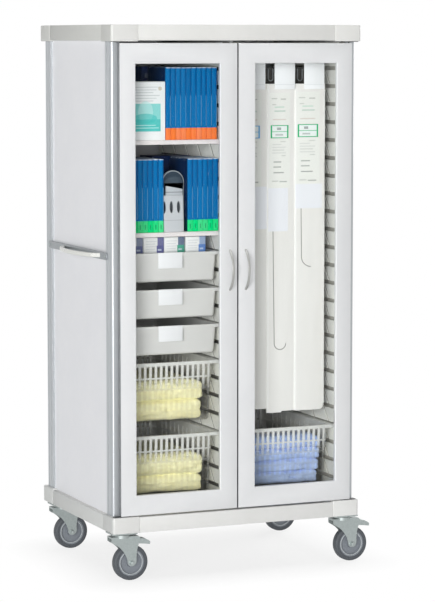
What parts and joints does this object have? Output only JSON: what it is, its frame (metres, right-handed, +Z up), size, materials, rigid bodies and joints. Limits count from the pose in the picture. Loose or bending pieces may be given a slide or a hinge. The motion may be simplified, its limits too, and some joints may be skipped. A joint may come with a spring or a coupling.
{
  "type": "medical supply cart",
  "caption": "Tall supply cart with glazed doors, slotted liners, shelves, sliding trays and clear baskets, hanging hooks, side push grips and braked swivel casters",
  "frame": {"origin": "floor, middle of the bounding box", "axes": "+Z up, the doors face -Y, +X to the right of someone facing the doors"},
  "size_m": [1.039, 0.756, 1.92],
  "materials": {
    "trim": "moulded pale grey",
    "laminate": "white laminate",
    "post_metal": "satin anodised",
    "liner_plastic": "ivory moulding",
    "shelf_paint": "powder coat",
    "grip_plastic": "soft light grey",
    "pivot_black": "black",
    "door_white": "white foil",
    "door_glass": "clear",
    "handle_satin": "satin",
    "tray_plastic": "light grey moulding",
    "label_white": "plain white",
    "basket_clear": "clear moulding",
    "wire_steel": "bright wire",
    "zinc": "zinc plated",
    "hub_grey": "grey",
    "tyre_grey": "grey, non marking"
  },
  "bodies": {
    "cabinet": {"base_corner_blocks": "trim", "base_deck": "laminate", "base_rails": "trim", "caster_mounts": "zinc", "ceiling_panel": "laminate", "centre_partition": "laminate", "door_pivots": "pivot_black", "hook_cards": "label_white", "hook_rail": "wire_steel", "liner_left_inner": "liner_plastic", "liner_left_outer": "liner_plastic", "liner_right_inner": "liner_plastic", "liner_right_outer": "liner_plastic", "post_front_left": "post_metal", "post_front_right": "post_metal", "post_rear_left": "post_metal", "post_rear_right": "post_metal", "push_grip_left": "grip_plastic", "push_grip_right": "grip_plastic", "push_rail_left": "post_metal", "push_rail_right": "post_metal", "rear_panel": "laminate", "shelf_lower": "shelf_paint", "shelf_upper": "shelf_paint", "side_panel_left": "laminate", "side_panel_right": "laminate", "supply_hooks": "wire_steel", "top_corner_blocks": "trim", "top_panel": "laminate", "top_rails": "trim"},
    "left_door": {"door_frame_left": "door_white", "door_glass_left": "door_glass", "door_handle_left": "handle_satin"},
    "right_door": {"door_frame_right": "door_white", "door_glass_right": "door_glass", "door_handle_right": "handle_satin"},
    "tray_upper": {"tray_upper": "tray_plastic", "tray_upper_label": "label_white"},
    "tray_middle": {"tray_middle": "tray_plastic", "tray_middle_label": "label_white"},
    "tray_lower": {"tray_lower": "tray_plastic", "tray_lower_label": "label_white"},
    "basket_upper_left": {"basket_upper_left": "basket_clear"},
    "basket_lower_left": {"basket_lower_left": "basket_clear"},
    "basket_lower_right": {"basket_lower_right": "basket_clear"},
    "caster_front_left": {"caster_fork_front_left": "zinc"},
    "wheel_front_left": {"caster_hub_front_left": "hub_grey", "caster_tyre_front_left": "tyre_grey"},
    "caster_front_right": {"caster_fork_front_right": "zinc"},
    "wheel_front_right": {"caster_hub_front_right": "hub_grey", "caster_tyre_front_right": "tyre_grey"},
    "caster_rear_left": {"caster_fork_rear_left": "zinc"},
    "wheel_rear_left": {"caster_hub_rear_left": "hub_grey", "caster_tyre_rear_left": "tyre_grey"},
    "caster_rear_right": {"caster_fork_rear_right": "zinc"},
    "wheel_rear_right": {"caster_hub_rear_right": "hub_grey", "caster_tyre_rear_right": "tyre_grey"},
    "pedal_left": {"brake_pedal_left": "zinc"},
    "pedal_right": {"brake_pedal_right": "zinc"}
  },
  "joints": [
    {"name": "left_door_swing", "type": "hinge", "parent": "cabinet", "child": "left_door", "pos_m": [-0.4365, -0.332, 1.04], "axis": [0, 0, -1], "range_deg": [0, 170]},
    {"name": "right_door_swing", "type": "hinge", "parent": "cabinet", "child": "right_door", "pos_m": [0.4255, -0.332, 1.04], "axis": [0, 0, 1], "range_deg": [0, 170]},
    {"name": "tray_upper_slide", "type": "slide", "parent": "cabinet", "child": "tray_upper", "axis": [0, -1, 0], "range_m": [0, 0.045]},
    {"name": "tray_middle_slide", "type": "slide", "parent": "cabinet", "child": "tray_middle", "axis": [0, -1, 0], "range_m": [0, 0.045]},
    {"name": "tray_lower_slide", "type": "slide", "parent": "cabinet", "child": "tray_lower", "axis": [0, -1, 0], "range_m": [0, 0.045]},
    {"name": "basket_upper_left_slide", "type": "slide", "parent": "cabinet", "child": "basket_upper_left", "axis": [0, -1, 0], "range_m": [0, 0.045]},
    {"name": "basket_lower_left_slide", "type": "slide", "parent": "cabinet", "child": "basket_lower_left", "axis": [0, -1, 0], "range_m": [0, 0.045]},
    {"name": "basket_lower_right_slide", "type": "slide", "parent": "cabinet", "child": "basket_lower_right", "axis": [0, -1, 0], "range_m": [0, 0.045]},
    {"name": "caster_front_left_swivel", "type": "hinge", "parent": "cabinet", "child": "caster_front_left", "pos_m": [-0.4305, -0.31, 0.155], "axis": [0, 0, 1], "continuous": true},
    {"name": "wheel_front_left_spin", "type": "hinge", "parent": "caster_front_left", "child": "wheel_front_left", "pos_m": [-0.4005, -0.31, 0.0625], "axis": [0, 1, 0], "continuous": true},
    {"name": "pedal_left_tread", "type": "hinge", "parent": "caster_front_left", "child": "pedal_left", "pos_m": [-0.4005, -0.31, 0.135], "axis": [0, 1, 0], "range_deg": [0, 8]},
    {"name": "caster_front_right_swivel", "type": "hinge", "parent": "cabinet", "child": "caster_front_right", "pos_m": [0.4195, -0.31, 0.155], "axis": [0, 0, 1], "continuous": true},
    {"name": "wheel_front_right_spin", "type": "hinge", "parent": "caster_front_right", "child": "wheel_front_right", "pos_m": [0.4495, -0.31, 0.0625], "axis": [0, 1, 0], "continuous": true},
    {"name": "pedal_right_tread", "type": "hinge", "parent": "caster_front_right", "child": "pedal_right", "pos_m": [0.4495, -0.31, 0.135], "axis": [0, 1, 0], "range_deg": [0, 8]},
    {"name": "caster_rear_left_swivel", "type": "hinge", "parent": "cabinet", "child": "caster_rear_left", "pos_m": [-0.4305, 0.297, 0.155], "axis": [0, 0, 1], "continuous": true},
    {"name": "wheel_rear_left_spin", "type": "hinge", "parent": "caster_rear_left", "child": "wheel_rear_left", "pos_m": [-0.4005, 0.297, 0.0625], "axis": [0, 1, 0], "continuous": true},
    {"name": "caster_rear_right_swivel", "type": "hinge", "parent": "cabinet", "child": "caster_rear_right", "pos_m": [0.4195, 0.297, 0.155], "axis": [0, 0, 1], "continuous": true},
    {"name": "wheel_rear_right_spin", "type": "hinge", "parent": "caster_rear_right", "child": "wheel_rear_right", "pos_m": [0.4495, 0.297, 0.0625], "axis": [0, 1, 0], "continuous": true}
  ]
}
